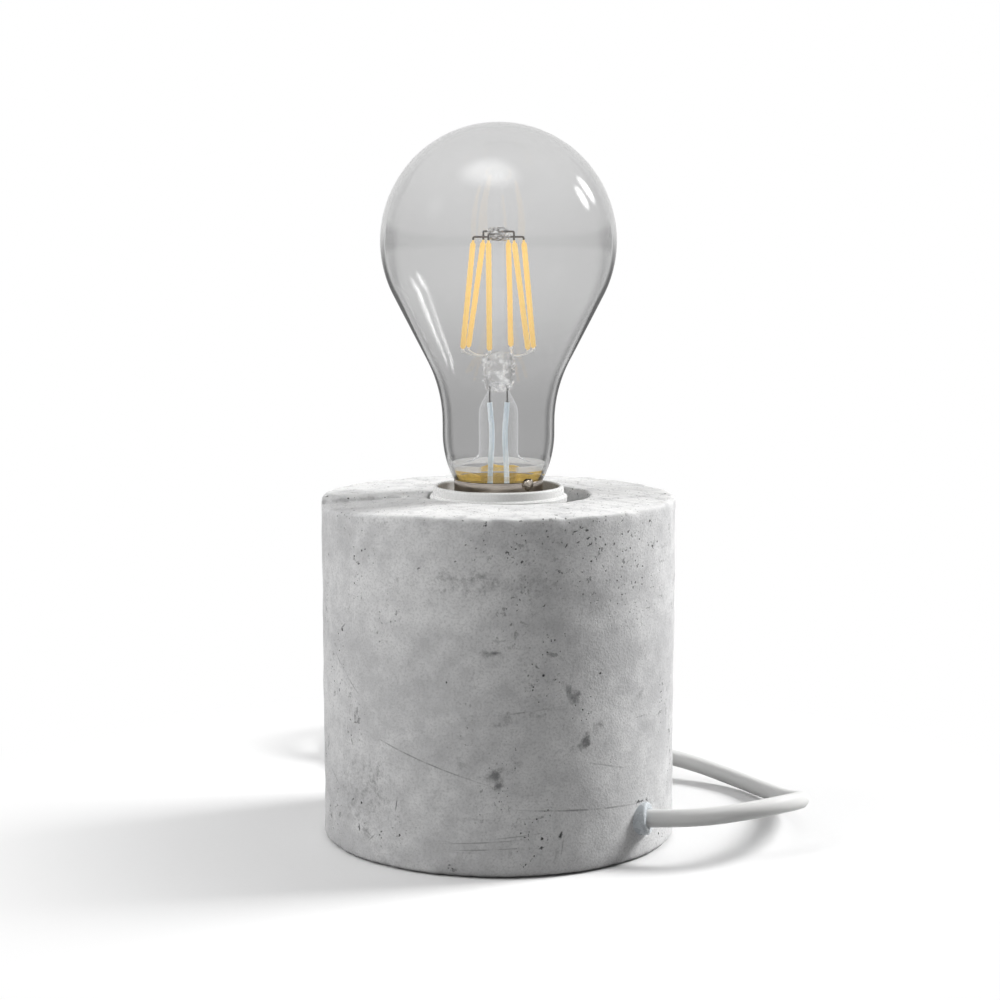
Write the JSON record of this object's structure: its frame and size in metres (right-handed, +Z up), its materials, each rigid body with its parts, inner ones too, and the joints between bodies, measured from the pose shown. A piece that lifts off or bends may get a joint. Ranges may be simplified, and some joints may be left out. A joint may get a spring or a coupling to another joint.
{
  "type": "table lamp",
  "caption": "Plain concrete cylinder as a table lamp, with a sunken screw lampholder, a pear-shaped bulb with bar filaments, and a cord with rocker switch and flat plug.",
  "frame": {"origin": "middle of the block's footprint, on the table", "axes": "+Z up, -Y towards the viewer of the picture, +X to the right, where the cord leaves"},
  "size_m": [0.1516, 0.2192, 0.2129],
  "materials": {
    "concrete": "bare cast concrete, matte, with pores",
    "plate": "matte",
    "zinc": "satin zinc plate",
    "brass": "satin",
    "rubber": "matte",
    "sleeve": "clear, slightly milky",
    "cord": "smooth, low sheen",
    "clamp": "matte",
    "core_brown": "low sheen",
    "core_blue": "low sheen",
    "holder": "smooth white",
    "ceramic": "white, satin",
    "glass": "clear, grey tint",
    "clear_glass": "clear",
    "wire": "dull",
    "wire_sleeve": "pale, translucent",
    "filament": "orange-yellow, matte",
    "cap_metal": "satin nickel",
    "insulator": "black",
    "cement": "amber",
    "solder": "smooth",
    "board": "satin",
    "component": "satin",
    "switch": "fine matte white",
    "rocker": "smooth white",
    "tie": "matte black",
    "plug": "fine matte white",
    "pin": "nickel plate",
    "pin_sleeve": "matte white"
  },
  "bodies": {
    "base": {"concrete_body": "concrete", "base_plate": "plate", "plate_screws": "zinc", "screw_anchors": "brass", "rubber_feet": "rubber", "cord_sleeve": "sleeve", "cord_inner": "cord", "clamp_lower": "clamp", "clamp_upper": "clamp", "clamp_screws": "zinc", "core_brown": "core_brown", "core_blue": "core_blue", "threaded_tube": "zinc", "tube_washer": "zinc", "tube_nut": "zinc", "holder_cap": "holder", "grub_screw": "zinc", "holder_skirt": "holder", "contact_carrier": "ceramic", "screw_shell": "brass", "centre_contact": "brass", "terminals": "brass", "terminal_screws": "zinc", "switch_lower": "switch", "switch_upper": "switch", "switch_contacts": "brass", "switch_screws": "zinc", "switch_cores": "core_brown", "cord_lead": "cord", "cord_run": "cord", "cord_coil": "cord", "cord_tail": "cord", "coil_tie": "tie", "plug_body": "plug", "plug_pins": "pin", "pin_sleeves": "pin_sleeve"},
    "bulb_tip": {"cap_contact": "brass"},
    "bulb": {"bulb_glass": "glass", "bulb_stem": "clear_glass", "lead_wires": "wire", "lead_sleeves": "wire_sleeve", "filament_collectors": "wire", "filament_bridges": "wire", "bulb_cap": "cap_metal", "cap_insulator": "insulator", "cap_cement": "cement", "cap_solder": "solder", "driver_board": "board", "driver_components": "component", "tip_lead": "wire", "led_filament_1": "filament", "led_filament_2": "filament", "led_filament_3": "filament", "led_filament_4": "filament", "led_filament_5": "filament", "led_filament_6": "filament"},
    "rocker": {"switch_rocker": "rocker", "rocker_blade": "brass"}
  },
  "joints": [
    {"name": "bulb_lift", "type": "slide", "parent": "base", "child": "bulb_tip", "axis": [0, 0, 1], "range_m": [0, 0.01089], "stiffness_N_per_m": 2, "springref_m": 0.4185},
    {"name": "bulb_turn", "type": "hinge", "parent": "bulb_tip", "child": "bulb", "pos_m": [0, 0, 0.1], "axis": [0, 0, 1], "range_deg": [0, 1080]},
    {"name": "rocker_tilt", "type": "hinge", "parent": "base", "child": "rocker", "pos_m": [0.013, 0.066, 0.0124], "axis": [0, -1, 0], "range_deg": [0, 14]}
  ],
  "couplings": [
    {"joint": "bulb_lift", "follows": "bulb_turn", "m_per_rad": 0.00057757}
  ]
}
